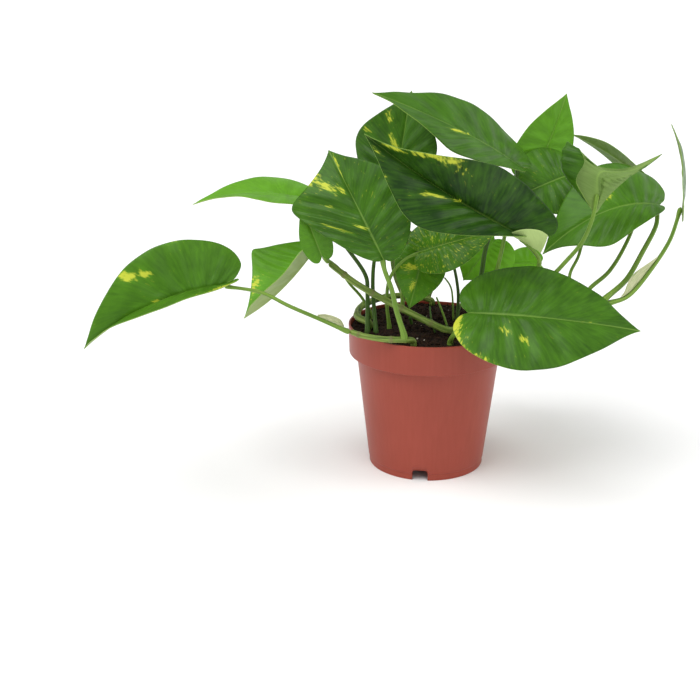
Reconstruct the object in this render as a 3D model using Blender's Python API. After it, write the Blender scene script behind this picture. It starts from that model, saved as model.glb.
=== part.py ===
"""Golden pothos in a 12 cm nursery pot.

The pot's axis is vertical, the plant faces -Y, and +X is on a viewer's right. Places
and sizes are given in millimetres from the middle of the pot's foot, and every object
then stands at POT_PLACE, so that the origin lies under the middle of the whole plant.
"""

import math

import bmesh
import bpy
from mathutils import Matrix, Vector

MM = 0.001
GAP = 0.3
POT_PLACE = Vector((27.1, 1.6, 0.0)) * MM

# ---------------------------------------------------------------- scene


def clear_scene():
    for obj in list(bpy.data.objects):
        bpy.data.objects.remove(obj, do_unlink=True)


def material(name, colour, roughness):
    made = bpy.data.materials.new(name)
    made.use_nodes = True
    shader = made.node_tree.nodes["Principled BSDF"]
    shader.inputs["Base Color"].default_value = (*colour, 1.0)
    shader.inputs["Roughness"].default_value = roughness
    shader.inputs["Metallic"].default_value = 0.0
    return made


def place(obj, finish):
    """Links the object, gives it its material and stands it where the pot is."""
    bpy.context.scene.collection.objects.link(obj)
    obj.data.materials.append(finish)
    obj.location = POT_PLACE
    return obj


def smooth(points, t):
    """The point at fraction t of a smooth curve through the given points."""
    spot = t * (len(points) - 1)
    i = min(int(spot), len(points) - 2)
    f = spot - i
    a, b, c, d = (Vector(points[min(max(k, 0), len(points) - 1)]) for k in range(i - 1, i + 3))
    return b + 0.5 * f * ((c - a) + f * ((2 * a - 5 * b + 4 * c - d) + f * (3 * (b - c) + d - a)))


# ---------------------------------------------------------------- pot

POT_HEIGHT = 110.0
RIM_RADIUS = 60.0
RIM_BAND = 22.0
WALL = 1.4
NECK_RADIUS = 53.9
WAIST_RADIUS = 44.2
FOOT_RADIUS = 43.6
FOOT_STEP = 5.0
BASE_UNDERSIDE = 9.0
NOTCHES = 3
NOTCH_WIDTH = 11.5
NOTCH_HEIGHT = 8.5
FIRST_NOTCH = -9.0
HOLES = 6
HOLE_RADIUS = 4.0
HOLE_RING = 27.0
POT_SIDES = 60


def spin_profile(profile, sides):
    """A turned solid from (radius, height) points that start and end on the axis."""
    bm = bmesh.new()
    points = [bm.verts.new((r, 0.0, z)) for r, z in profile]
    edges = [bm.edges.new(pair) for pair in zip(points, points[1:])]
    bmesh.ops.spin(
        bm, geom=points + edges, axis=(0, 0, 1), cent=(0, 0, 0),
        angle=math.tau, steps=sides, use_merge=True,
    )
    bmesh.ops.remove_doubles(bm, verts=bm.verts, dist=0.001)
    bmesh.ops.recalc_face_normals(bm, faces=bm.faces)
    return bm


def finish_mesh(bm, name, finish, smooth_angle=35.0):
    mesh = bpy.data.meshes.new(name)
    bmesh.ops.scale(bm, vec=(MM, MM, MM), verts=bm.verts)
    bm.to_mesh(mesh)
    bm.free()
    mesh.shade_smooth()
    mesh.set_sharp_from_angle(angle=math.radians(smooth_angle))
    return place(bpy.data.objects.new(name, mesh), finish)


def pot_wall():
    """The pot's section: under the base plate, down the foot, up outside, down inside."""
    rim_underside = POT_HEIGHT - RIM_BAND
    plate_top = BASE_UNDERSIDE + WALL
    return [
        (0.0, BASE_UNDERSIDE),
        (FOOT_RADIUS - WALL - 0.6, BASE_UNDERSIDE),
        (FOOT_RADIUS - WALL, 0.0),
        (FOOT_RADIUS, 0.0),
        (FOOT_RADIUS, FOOT_STEP),
        (WAIST_RADIUS, FOOT_STEP + 0.4),
        (NECK_RADIUS, rim_underside),
        (RIM_RADIUS - 1.2, rim_underside),
        (RIM_RADIUS - 0.3, rim_underside + 0.9),
        (RIM_RADIUS, POT_HEIGHT - 0.6),
        (RIM_RADIUS - 0.6, POT_HEIGHT),
        (RIM_RADIUS - WALL - 0.2, POT_HEIGHT),
        (RIM_RADIUS - WALL - 0.5, rim_underside + WALL),
        (NECK_RADIUS - WALL, rim_underside - 1.0),
        (WAIST_RADIUS - WALL + 0.4, plate_top),
        (0.0, plate_top),
    ]


def cutter(bm, name):
    mesh = bpy.data.meshes.new(name)
    bmesh.ops.recalc_face_normals(bm, faces=bm.faces)
    bmesh.ops.scale(bm, vec=(MM, MM, MM), verts=bm.verts)
    bm.to_mesh(mesh)
    bm.free()
    obj = bpy.data.objects.new(name, mesh)
    bpy.context.scene.collection.objects.link(obj)
    obj.location = POT_PLACE
    obj.hide_render = True
    obj.display_type = "WIRE"
    return obj


def notch_cutter():
    """Three blocks with rounded upper corners that stand across the foot ring."""
    bm = bmesh.new()
    for turn in range(NOTCHES):
        angle = math.radians(FIRST_NOTCH - 90.0 + 360.0 / NOTCHES * turn)
        block = bmesh.ops.create_cube(bm, size=1.0)["verts"]
        bmesh.ops.scale(bm, vec=(12.0, NOTCH_WIDTH, 2 * NOTCH_HEIGHT), verts=block)
        corners = [
            edge for edge in bm.edges
            if all(v in block and v.co.z > 0 for v in edge.verts)
            and abs(edge.verts[0].co.y - edge.verts[1].co.y) < 0.01
        ]
        rounded = bmesh.ops.bevel(
            bm, geom=corners, offset=2.5, segments=3, profile=0.5, affect="EDGES", material=-1
        )
        block = list({v for v in block if v.is_valid} | set(rounded["verts"]))
        turned = Matrix.Rotation(angle, 4, "Z") @ Matrix.Translation((FOOT_RADIUS, 0, 0))
        bmesh.ops.transform(bm, matrix=turned, verts=block)
    return cutter(bm, "notch_cutter")


def hole_cutter():
    """Drain holes through the base plate."""
    bm = bmesh.new()
    for turn in range(HOLES):
        angle = math.tau * turn / HOLES
        spot = (HOLE_RING * math.cos(angle), HOLE_RING * math.sin(angle), BASE_UNDERSIDE)
        bmesh.ops.create_cone(
            bm, cap_ends=True, segments=16, radius1=HOLE_RADIUS, radius2=HOLE_RADIUS, depth=8.0,
            matrix=Matrix.Translation(spot),
        )
    return cutter(bm, "hole_cutter")


def make_pot():
    terracotta = material("terracotta plastic", (0.30, 0.075, 0.045), 0.45)
    pot = finish_mesh(spin_profile(pot_wall(), POT_SIDES), "pot", terracotta)
    for tool in (notch_cutter(), hole_cutter()):
        cut = pot.modifiers.new(tool.name, "BOOLEAN")
        cut.operation = "DIFFERENCE"
        cut.solver = "EXACT"
        cut.object = tool


# ---------------------------------------------------------------- soil

SOIL_EDGE = 107.5
SOIL_MOUND = 5.5
SOIL_SIDES = 40
SOIL_RADIUS = RIM_RADIUS - WALL - 0.5 - GAP


def soil_height(x, y):
    """The mound's height over a place: highest in the middle, a little lower in front."""
    out = min(math.hypot(x, y) / SOIL_RADIUS, 1.0)
    return SOIL_EDGE + SOIL_MOUND * (1.0 - out ** 2.5) + 1.5 * y / SOIL_RADIUS * out


def make_soil():
    rim_underside = POT_HEIGHT - RIM_BAND
    floor = BASE_UNDERSIDE + WALL + GAP
    rings = [SOIL_RADIUS * k / 5 for k in range(4, -1, -1)]
    profile = [
        (0.0, floor),
        (WAIST_RADIUS - WALL, floor),
        (NECK_RADIUS - WALL - GAP, rim_underside - 1.0),
        (SOIL_RADIUS - 0.1, rim_underside + WALL + GAP),
        (SOIL_RADIUS, SOIL_EDGE - 3.0),
    ] + [(r, SOIL_EDGE) for r in [SOIL_RADIUS - 0.6] + rings]
    bm = spin_profile(profile, SOIL_SIDES)
    for vert in bm.verts:
        if vert.co.z > SOIL_EDGE - 0.1:
            vert.co.z = soil_height(vert.co.x, vert.co.y)
    finish_mesh(bm, "soil", material("peat", (0.020, 0.012, 0.008), 0.95))


# ---------------------------------------------------------------- leaf blades

# Half of a heart-shaped blade laid flat: (lengths from the notch, half widths from the
# midrib), from the notch round the lobe to the tip.
HALF_OUTLINE = [
    (0.0, 0.0), (-0.07, 0.12), (-0.115, 0.38), (-0.06, 0.70), (0.10, 0.93), (0.28, 1.0),
    (0.50, 0.86), (0.72, 0.53), (0.88, 0.21), (0.96, 0.06), (1.0, 0.0),
]
VEIN_SPREAD = 2.2
LOBE_END = 0.15
LOBE_LENGTH = 0.27
RIPPLE_WAVES = 11.0
RIPPLE_SHIFT = 2.0
BLADE = 0.7
BLADE_ROWS = 10
HALF_COLUMNS = 2
ROLLED_ROWS = 24
ROLLED_HALF_COLUMNS = 4
TRIMMED_START = 0.015
TRIMMED_SPAN = 0.97
NEAR = 0.01


def direction(azimuth, elevation):
    """Azimuth 0 looks out of the plant's front, 90 to its right; elevation 90 is up."""
    a, e = math.radians(azimuth), math.radians(elevation)
    return Vector((math.sin(a) * math.cos(e), -math.cos(a) * math.cos(e), math.sin(e)))


def half_value(leaf, key, usual, s):
    """The leaf's value for its left half (s below 0) or its right half."""
    value = leaf.get(key, usual)
    return value[s > 0] if isinstance(value, tuple) else value


def funnel_point(curves, t, s):
    """A point, and its normal, of a blade given as curves from the notch to the tip."""
    def place(t, s):
        return smooth([smooth(curve, t) for curve in curves], (s + 1) / 2)

    across = place(t, min(s + NEAR, 1.0)) - place(t, max(s - NEAR, -1.0))
    along = place(min(t + NEAR, 1.0), s) - place(max(t - NEAR, 0.0), s)
    return place(t, s), across.cross(along).normalized()


def blade_point(leaf, t, s):
    """A point of the blade, and its normal, on the vein at t (0 notch, 1 tip) and the
    fraction s of the way from the midrib to the margin (below 0 on the left half)."""
    if "curves" in leaf:
        return funnel_point(leaf["curves"], t, s)
    base, tip = Vector(leaf["base"]), Vector(leaf["tip"])
    length = (tip - base).length
    along = (tip - base) / length
    facing = direction(*leaf["face"])
    up = (facing - along * facing.dot(along)).normalized()
    side = along.cross(up)

    reach = abs(s)
    edge_x, edge_out = smooth(HALF_OUTLINE, t)
    edge_x += half_value(leaf, "sweep", 0.0, s) * edge_out * (1 - edge_x)
    root = t ** VEIN_SPREAD
    x = root + (edge_x - root) * reach
    out = edge_out * reach * leaf["width"] / 2 * half_value(leaf, "half", 1.0, s)

    u = max(x, 0.0)
    middle = (base + tip) / 2 + 2 * leaf.get("arch", 0.0) * up + 2 * leaf.get("sway", 0.0) * side
    spine = (1 - u) ** 2 * base + 2 * u * (1 - u) * middle + u * u * tip
    run = (2 * (1 - u) * (middle - base) + 2 * u * (tip - middle)).normalized()
    spine = spine + min(x, 0.0) * length * run

    rise = (up - run * up.dot(run)).normalized()
    rise = Matrix.Rotation(math.radians(leaf.get("twist", 0.0) * u), 3, run) @ rise
    across = run.cross(rise) * (1 if s > 0 else -1)
    cup = half_value(leaf, "cup", 20.0, s) * edge_out * reach / 2
    tilt = math.radians(half_value(leaf, "fold", 10.0, s) - cup)
    behind = max(0.0, LOBE_END - x) / LOBE_LENGTH
    lift = half_value(leaf, "lobe", 0.0, s) * behind * behind * reach
    wave = math.sin(RIPPLE_WAVES * t + (RIPPLE_SHIFT if s > 0 else 0.0))
    lift += leaf.get("ripple", 1.0) * reach * reach * edge_out * wave
    return spine + out * (math.cos(tilt) * across + math.sin(tilt) * rise) + lift * rise, rise


LEAVES = {
    "front_low": dict(base=(22, -80, 142), tip=(142, -72, 126), face=(0, 50), width=84, arch=4,
                      half=(1.08, 1.0), cup=30, sweep=(0.18, 0.06)),
    "left": dict(base=(-144, -62, 157), tip=(-243, -75, 114), face=(-10, 52), width=74, arch=14,
                 fold=(48, 36), cup=10, half=(1.0, 0.96), sweep=(0.2, 0.0), lobe=(8, 0)),
    "left_high": dict(base=(-87, 15, 201), tip=(-175, 10, 198), face=(0, 88), width=46, arch=7,
                      fold=(8, 25)),
    "left_low": dict(base=(-84, -2, 169), tip=(-138, -9, 116), face=(-45, 35), width=72, arch=4,
                     sway=-10, fold=(65, 15), half=(1.0, 1.55), sweep=(0.0, -0.1)),
    "centre": dict(base=(-36, -62, 175), tip=(-74, -20, 243), face=(0, 20), width=90, arch=4,
                   fold=(5, 25), half=(0.93, 0.8), sweep=(0.56, 0.2)),
    "centre_back": dict(base=(-25, 12, 202), tip=(-14, 25, 279), face=(-25, 15), width=74, arch=3,
                        half=(1.02, 0.75), sweep=(0.3, 0.3)),
    "top": dict(base=(66, 10, 226), tip=(-44, -25, 283), face=(0, 60), width=74, arch=5,
                half=(0.75, 0.96), sweep=(0.35, 0.05), ripple=2.5),
    "front_high": dict(base=(69, -50, 185), tip=(-50, -88, 264), face=(5, 58), width=80, arch=-4,
                       fold=40, twist=-80, half=(0.9, 0.82), sweep=(0.45, 0.1), lobe=(15, 0)),
    "right_top": dict(base=(88, 62, 219), tip=(107, 70, 272), face=(15, 10), width=56, arch=2,
                      half=(0.88, 0.7), sweep=(-0.25, 0.0)),
    "right_back": dict(base=(108, 46, 214), tip=(58, 28, 196), face=(0, 40), width=60, arch=2),
    "right_thin": dict(base=(164, 66, 211), tip=(112, 72, 241), face=(180, 62), width=24, arch=3),
    # A funnel-shaped blade seen from below, with one lobe rolled over: its curves run
    # from the lower margin, past the midrib, to the rolled margin.
    "saddle": dict(curves=[
        [(112, -41, 203), (121, -40, 215), (127, -39, 221), (132, -37, 225), (137, -35, 229),
         (148, -30, 234), (159, -25, 241)],
        [(111, -42, 203), (116, -42, 217), (118, -44, 225), (124, -43, 227), (132, -39, 228),
         (145, -32, 232), (159, -25, 241)],
        [(111, -41, 202), (112, -39, 217), (112, -38, 227), (116, -35, 230), (123, -33, 229),
         (140, -29, 230), (159, -25, 241)],
        [(110, -41, 203), (90, -42, 228), (86, -41, 241), (92, -36, 250), (109, -33, 234),
         (133, -28, 229), (159, -25, 241)],
        [(110, -41, 204), (96, -48, 225), (100, -51, 240), (96, -44, 249), (109, -32, 235),
         (133, -27, 231), (159, -25, 241)],
    ]),
    "right": dict(base=(173, 25, 195), tip=(84, 6, 161), face=(0, 55), width=76, arch=20,
                  half=(0.76, 1.15), sweep=(0.4, -0.14)),
    "far_right": dict(base=(184, 0, 197), tip=(169, -5, 259), face=(74, 10), width=36, arch=4,
                      fold=3, cup=5),
    "back_low": dict(base=(52, 38, 165), tip=(29, 40, 132), face=(0, 10), width=48, arch=2),
    "back_right": dict(base=(88, 46, 144), tip=(56, 50, 142), face=(0, 50), width=30, arch=2),
    "small_middle": dict(base=(-8, -20, 170), tip=(48, -15, 184), face=(0, 40), width=44, arch=2),
    "small_low": dict(base=(-5, -8, 166), tip=(-16, -28, 129), face=(0, 10), width=38, arch=2),
    "small_left": dict(base=(-79, -40, 172), tip=(-93, -38, 208), face=(0, 20), width=22, arch=2),
    "back_hanging": dict(base=(-8, 54, 163), tip=(-3, 84, 76), face=(180, 20), width=40, arch=8),
    "back_over_rim": dict(base=(62, 62, 128), tip=(92, 108, 66), face=(150, 30), width=58, arch=8),
}


def make_blade(name, leaf, finish):
    bm = bmesh.new()
    rows, half = BLADE_ROWS, HALF_COLUMNS
    if "curves" in leaf:
        rows, half = ROLLED_ROWS, ROLLED_HALF_COLUMNS
    bmesh.ops.create_grid(bm, x_segments=rows, y_segments=2 * half, size=1.0)
    for vert in bm.verts:
        t = TRIMMED_START + TRIMMED_SPAN * (vert.co.x + 1) / 2
        vert.co, _ = blade_point(leaf, t, vert.co.y)
    blade = finish_mesh(bm, "leaf_" + name, finish)
    wall = blade.modifiers.new("thickness", "SOLIDIFY")
    wall.thickness = BLADE * MM
    wall.offset = 0.0
    wall.use_rim = True


def make_leaves():
    green = material("leaf", (0.06, 0.19, 0.025), 0.35)
    for name, leaf in LEAVES.items():
        make_blade(name, leaf, green)


# ---------------------------------------------------------------- vines and stalks

# Each vine's radius and its route, from where it leaves the soil. A height of None is
# the soil's own.
VINES = {
    "main": dict(radius=2.7, route=[(17, -33, None), (8, -34, 116), (-14, -34, 127), (-35, -33, 138),
                                    (-53, -31, 148), (-66, -28, 157), (-74, -26, 163)]),
    "front": dict(radius=2.4, route=[(-14, -48, None), (-21, -54, 114), (-36, -54, 114.5),
                                     (-50, -49, 115.5), (-59, -45, 117.5)]),
    "right": dict(radius=2.3, route=[(28, -18, None), (42, -17, 117), (68, -16, 120), (95, -16, 123),
                                     (115, -17, 127), (128, -17, 130)]),
    "back": dict(radius=2.8, route=[(-45, -10, None), (-53, 2, 114), (-51, 22, 115.5), (-40, 39, 116.5),
                                    (-24, 49, 117), (-8, 52, 116), (5, 47, None)]),
}

# Each stalk's foot, the places it passes and its radius at the foot. A foot is a place
# on the soil (x, y), or (vine, fraction of the vine, direction it leaves the vine).
STALKS = {
    "front_low": dict(foot=(13, -46), via=[(16, -58, 122), (20, -70, 133)], radius=1.7),
    "left": dict(foot=("front", 1.0, (-70, 20)), via=[(-80, -53, 129), (-101, -58, 140), (-121, -61, 151)],
                 radius=1.7),
    "left_high": dict(foot=(-46, -19), via=[(-46, -8, 135), (-48, 1, 148), (-63, 5, 169), (-78, 12, 189)],
                      radius=1.7),
    "left_low": dict(foot=(-42, 12), via=[(-50, 13, 126), (-59, 8, 138), (-67, 0, 152), (-76, -6, 161)],
                     radius=1.2),
    "centre": dict(foot=("front", 0.25, (0, 80)), via=[(-26, -56, 135), (-30, -57, 152), (-35, -58, 166)],
                   radius=2.0),
    "centre_back": dict(foot=(-40, -19), via=[(-42, -4, 140), (-40, 5, 161), (-32, 12, 178)], radius=1.6),
    "top": dict(foot=(34, 8), via=[(40, 16, 140), (44, 20, 165), (54, 20, 195), (63, 16, 215)], radius=1.9),
    "front_high": dict(foot=(38, -24), via=[(55, -28, 132), (70, -32, 152), (75, -36, 168)], radius=1.9),
    "right_top": dict(foot=(42, 14), via=[(50, 18, 135), (56, 26, 158), (70, 66, 192)], radius=1.7),
    "right_back": dict(foot=("right", 0.72, (0, 80)), via=[(103, -6, 147), (112, 8, 162), (118, 26, 185)],
                       radius=1.3),
    "right_thin": dict(foot=("right", 0.8, (100, 70)), via=[(118, -5, 137), (134, 5, 148), (147, 18, 163),
                                                           (157, 32, 180), (163, 48, 200)], radius=1.6),
    "saddle": dict(foot=("right", 0.45, (0, 70)), via=[(80, -27, 145), (92, -34, 163), (103, -42, 181),
                                                      (109, -45, 199)], radius=1.7),
    "right": dict(foot=("right", 0.97, (60, 70)), via=[(146, -2, 144), (159, 9, 162), (170, 18, 181)],
                  radius=2.1),
    "far_right": dict(foot=("right", 1.0, (90, 10)), via=[(146, -15, 136), (161, -10, 153), (175, -5, 175)],
                      radius=1.8),
    "back_low": dict(foot=(40, 30), via=[(46, 42, 130), (52, 46, 150)], radius=1.4),
    "back_right": dict(foot=(48, 22), via=[(62, 34, 122), (82, 44, 133)], radius=1.3),
    "small_middle": dict(foot=(-30, -16), via=[(-32, -19, 132), (-30, -21, 150), (-20, -19, 163)],
                         radius=1.4),
    "small_low": dict(foot=(22, 2), via=[(22, 6, 135), (16, 6, 158), (4, 0, 165)], radius=1.3),
    "small_left": dict(foot=("main", 1.0, (-80, 45)), via=[], radius=1.2),
    "back_hanging": dict(foot=(-18, 38), via=[(-18, 46, 135), (-15, 52, 152)], radius=1.5),
    "back_over_rim": dict(foot=(38, 36), via=[(48, 48, 120)], radius=1.6),
}
SEAT = 0.15
TOP_SHARE = 0.75
STALK_POINTS = 8
VINE_POINTS = 12
DOME = ((0.7, 0.7), (1.0, 0.15))


def vine_route(vine):
    """The vine's points, its ends lifted clear of the soil."""
    reach = vine["radius"] + 2 * GAP
    return [(x, y, soil_height(x, y) + reach if z is None else z) for x, y, z in vine["route"]]


def stalk_route(name):
    """From the foot on the soil or the vine up to the seat under the blade's notch."""
    stalk, leaf = STALKS[name], LEAVES[name]
    radius = stalk["radius"]
    if len(stalk["foot"]) == 2:
        x, y = stalk["foot"]
        foot = Vector((x, y, soil_height(x, y) + 2 * GAP + radius))
    else:
        vine, share, away = stalk["foot"]
        on_vine = smooth(vine_route(VINES[vine]), share)
        foot = on_vine + direction(*away) * (VINES[vine]["radius"] + GAP + radius)
    notch, rise = blade_point(leaf, SEAT, 0.0)
    seat = notch - rise * (BLADE / 2 + GAP + radius * TOP_SHARE)
    return [foot] + [Vector(spot) for spot in stalk["via"]] + [seat]


def tube(name, route, count, first_radius, last_radius, finish):
    """A round stem with domed ends along a smooth curve through the route's points."""
    points = [smooth(route, k / (count - 1)) for k in range(count)]
    radii = [first_radius + (last_radius - first_radius) * k / (count - 1) for k in range(count)]
    for end, inner, at in ((0, 1, 0), (-1, -2, len(points))):
        out = (points[end] - points[inner]).normalized()
        dome = [(points[end] + out * radii[end] * reach, radii[end] * share)
                for reach, share in DOME]
        if at == 0:
            points = [dome[1][0], dome[0][0]] + points
            radii = [dome[1][1], dome[0][1]] + radii
        else:
            points += [dome[0][0], dome[1][0]]
            radii += [dome[0][1], dome[1][1]]
    curve = bpy.data.curves.new(name, "CURVE")
    curve.dimensions = "3D"
    curve.bevel_depth = MM
    curve.bevel_resolution = 2
    curve.use_fill_caps = True
    line = curve.splines.new("POLY")
    line.points.add(len(points) - 1)
    for knot, point, radius in zip(line.points, points, radii):
        knot.co = (*(point * MM), 1.0)
        knot.radius = radius
    return place(bpy.data.objects.new(name, curve), finish)


def make_stems():
    bark = material("vine", (0.16, 0.30, 0.06), 0.45)
    for name, vine in VINES.items():
        radius = vine["radius"]
        tube("vine_" + name, vine_route(vine), VINE_POINTS, radius, radius * 0.85, bark)
    stem = material("stalk", (0.20, 0.36, 0.08), 0.40)
    for name, stalk in STALKS.items():
        radius = stalk["radius"]
        tube("stalk_" + name, stalk_route(name), STALK_POINTS, radius, radius * TOP_SHARE, stem)


# ---------------------------------------------------------------- sheaths

# Dry sheaths that stand along a stalk: the stalk, the fractions of it where the sheath
# starts and ends, the direction of its free edge and its greatest width.
SHEATHS = {
    "right": dict(stalk="far_right", start=0.16, end=0.60, edge=(-90, 68), width=6.5),
    "front": dict(stalk="left", start=0.03, end=0.28, edge=(0, 75), width=4.5),
}
SHEATH = 0.5
SHEATH_ENDS = 0.6
SHEATH_ROWS = 8


def make_sheath(name, sheath, finish):
    """A thin strip whose straight edge follows the stalk and whose free edge bulges."""
    route = stalk_route(sheath["stalk"])
    radius = STALKS[sheath["stalk"]]["radius"]
    away = direction(*sheath["edge"])
    bm = bmesh.new()
    bmesh.ops.create_grid(bm, x_segments=SHEATH_ROWS, y_segments=1, size=1.0)
    for vert in bm.verts:
        t, s = (vert.co.x + 1) / 2, (vert.co.y + 1) / 2
        bulge = SHEATH_ENDS + sheath["width"] * math.sin(math.pi * t)
        share = sheath["start"] + (sheath["end"] - sheath["start"]) * t
        run = (smooth(route, share + NEAR) - smooth(route, share - NEAR)).normalized()
        across = (away - run * away.dot(run)).normalized()
        vert.co = smooth(route, share) + across * (radius + 2 * GAP + s * bulge)
    strip = finish_mesh(bm, "sheath_" + name, finish)
    wall = strip.modifiers.new("thickness", "SOLIDIFY")
    wall.thickness = SHEATH * MM
    wall.offset = 0.0
    wall.use_rim = True


def make_sheaths():
    papery = material("dry sheath", (0.55, 0.48, 0.30), 0.7)
    for name, sheath in SHEATHS.items():
        make_sheath(name, sheath, papery)


clear_scene()
make_pot()
make_soil()
make_leaves()
make_stems()
make_sheaths()
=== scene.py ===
"""The looks of the golden pothos in its nursery pot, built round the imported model."""

import math
import random

import bmesh
import bpy
from mathutils import Matrix, Vector, noise


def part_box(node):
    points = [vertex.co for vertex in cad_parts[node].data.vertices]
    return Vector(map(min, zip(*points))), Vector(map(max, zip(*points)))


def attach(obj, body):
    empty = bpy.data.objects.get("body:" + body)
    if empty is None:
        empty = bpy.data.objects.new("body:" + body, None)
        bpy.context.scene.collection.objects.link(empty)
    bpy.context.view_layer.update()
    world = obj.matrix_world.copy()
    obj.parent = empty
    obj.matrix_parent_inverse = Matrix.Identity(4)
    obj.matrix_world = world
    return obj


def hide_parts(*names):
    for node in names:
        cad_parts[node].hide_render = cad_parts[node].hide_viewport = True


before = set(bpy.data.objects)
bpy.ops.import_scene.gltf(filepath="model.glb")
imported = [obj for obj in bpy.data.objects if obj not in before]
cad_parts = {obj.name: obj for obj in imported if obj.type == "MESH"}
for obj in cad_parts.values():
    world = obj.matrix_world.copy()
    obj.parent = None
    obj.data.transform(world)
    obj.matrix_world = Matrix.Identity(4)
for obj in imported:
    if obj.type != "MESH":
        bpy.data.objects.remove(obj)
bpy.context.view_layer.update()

# ---------------------------------------------------------------- pot
# A nursery pot of injection-moulded polypropylene, coloured like terracotta all the way
# through. It has a deep rim band that steps out from the tapered wall, a foot ring with
# three drain notches and a base plate with drain holes. Nothing is fixed to it.

MM = 0.001
low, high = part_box("pot")
AXIS = Vector(((low.x + high.x) / 2, (low.y + high.y) / 2, 0.0))
POT_HEIGHT = 110.0
RIM_RADIUS = 60.0
RIM_BAND = 22.0
RIM_UNDERSIDE = POT_HEIGHT - RIM_BAND
WALL = 1.4
NECK_RADIUS = 53.9
WAIST_RADIUS = 44.2
FOOT_RADIUS = 43.6
FOOT_STEP = 5.0
WAIST_HEIGHT = FOOT_STEP + 0.4
BASE_UNDERSIDE = 9.0
PLATE_TOP = BASE_UNDERSIDE + WALL
NOTCHES = 3
NOTCH_WIDTH = 11.5
NOTCH_HEIGHT = 8.5
NOTCH_REACH = 12.0
NOTCH_CORNER = 2.5
FIRST_NOTCH = -9.0
HOLES = 6
HOLE_RADIUS = 4.0
HOLE_RING = 27.0
HOLE_PEG = 8.0
POT_SIDES = 160
# A ring of points on the wall just over the notches, so that they cut short faces only.
RING_HEIGHT = 12.0
UP_THE_WALL = (RING_HEIGHT - WAIST_HEIGHT) / (RIM_UNDERSIDE - WAIST_HEIGHT)
RING_ABOVE_NOTCHES = (WAIST_RADIUS + (NECK_RADIUS - WAIST_RADIUS) * UP_THE_WALL, RING_HEIGHT)
# (radius, height, corner radius) from under the base plate, round the outside, to inside
POT_PROFILE = [
    (0.0, BASE_UNDERSIDE, 0.0),
    (FOOT_RADIUS - WALL - 0.6, BASE_UNDERSIDE, 0.6),
    (FOOT_RADIUS - WALL, 0.0, 0.3),
    (FOOT_RADIUS, 0.0, 0.5),
    (FOOT_RADIUS, FOOT_STEP, 0.3),
    (WAIST_RADIUS, WAIST_HEIGHT, 0.3),
    (RING_ABOVE_NOTCHES[0], RING_ABOVE_NOTCHES[1], 0.0),
    (NECK_RADIUS, RIM_UNDERSIDE, 0.5),
    (RIM_RADIUS - 0.6, RIM_UNDERSIDE, 0.9),
    (RIM_RADIUS, POT_HEIGHT, 0.5),
    (RIM_RADIUS - WALL - 0.2, POT_HEIGHT, 0.5),
    (RIM_RADIUS - WALL - 0.5, RIM_UNDERSIDE + WALL, 0.8),
    (NECK_RADIUS - WALL, RIM_UNDERSIDE - 1.0, 0.8),
    (WAIST_RADIUS - WALL + 0.4, PLATE_TOP, 1.0),
    (0.0, PLATE_TOP, 0.0),
]


def linear(colour):
    """The linear RGBA of an sRGB hex colour."""
    parts = [int(colour[k:k + 2], 16) / 255 for k in (1, 3, 5)]
    return (*(c / 12.92 if c <= 0.04045 else ((c + 0.055) / 1.055) ** 2.4 for c in parts), 1.0)


def add_node(tree, kind, inputs=None, **settings):
    """A new node with its settings, its input values and its links from other sockets."""
    node = tree.nodes.new("ShaderNode" + kind)
    for key, value in settings.items():
        setattr(node, key, value)
    for key, value in (inputs or {}).items():
        if isinstance(value, bpy.types.NodeSocket):
            tree.links.new(value, node.inputs[key])
        else:
            node.inputs[key].default_value = value
    return node


def add_noise(tree, place, scale, detail):
    """A noise's socket. A scale of three numbers stretches the noise by direction."""
    if isinstance(scale, tuple):
        place = add_node(tree, "Mapping", {"Vector": place, "Scale": scale}).outputs[0]
        scale = 1.0
    facts = {"Vector": place, "Scale": scale, "Detail": detail}
    return add_node(tree, "TexNoise", facts).outputs["Fac"]


def spread(tree, value, low, high, to_low=0.0, to_high=1.0):
    """The value, carried from between low and high to between the other two."""
    facts = {"Value": value, "From Min": low, "From Max": high, "To Min": to_low,
             "To Max": to_high}
    return add_node(tree, "MapRange", facts).outputs[0]


def blend(tree, share, first, second):
    """The colour at this share of the way from the first to the second."""
    facts = {"Factor": share, "A": first, "B": second}
    return add_node(tree, "Mix", facts, data_type="RGBA").outputs["Result"]


def finish_skin(tree, shader, colour, height, strength, distance):
    """Gives the shader its colour, and a relief of this depth in metres."""
    tree.links.new(colour, shader.inputs["Base Color"])
    facts = {"Height": height, "Strength": strength, "Distance": distance}
    tree.links.new(add_node(tree, "Bump", facts).outputs[0], shader.inputs["Normal"])


def new_material(name, **sockets):
    """A material of one Principled shader, and that shader."""
    made = bpy.data.materials.new(name)
    made.use_nodes = True
    shader = made.node_tree.nodes["Principled BSDF"]
    for key, value in sockets.items():
        shader.inputs[key.replace("_", " ")].default_value = value
    return made, shader


def finish_piece(bm, name, materials, nodes, smooth_angle=40.0):
    """Turns a bmesh in millimetres from the pot's foot into a piece in the row frame."""
    bmesh.ops.scale(bm, vec=(MM, MM, MM), verts=bm.verts)
    bmesh.ops.translate(bm, vec=AXIS, verts=bm.verts)
    mesh = bpy.data.meshes.new(name)
    bm.to_mesh(mesh)
    bm.free()
    mesh.shade_smooth()
    mesh.set_sharp_from_angle(angle=math.radians(smooth_angle))
    for made in materials:
        mesh.materials.append(made)
    piece = bpy.data.objects.new(name, mesh)
    bpy.context.scene.collection.objects.link(piece)
    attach(piece, "root")
    if nodes:
        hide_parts(*nodes)
    return piece


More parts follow.
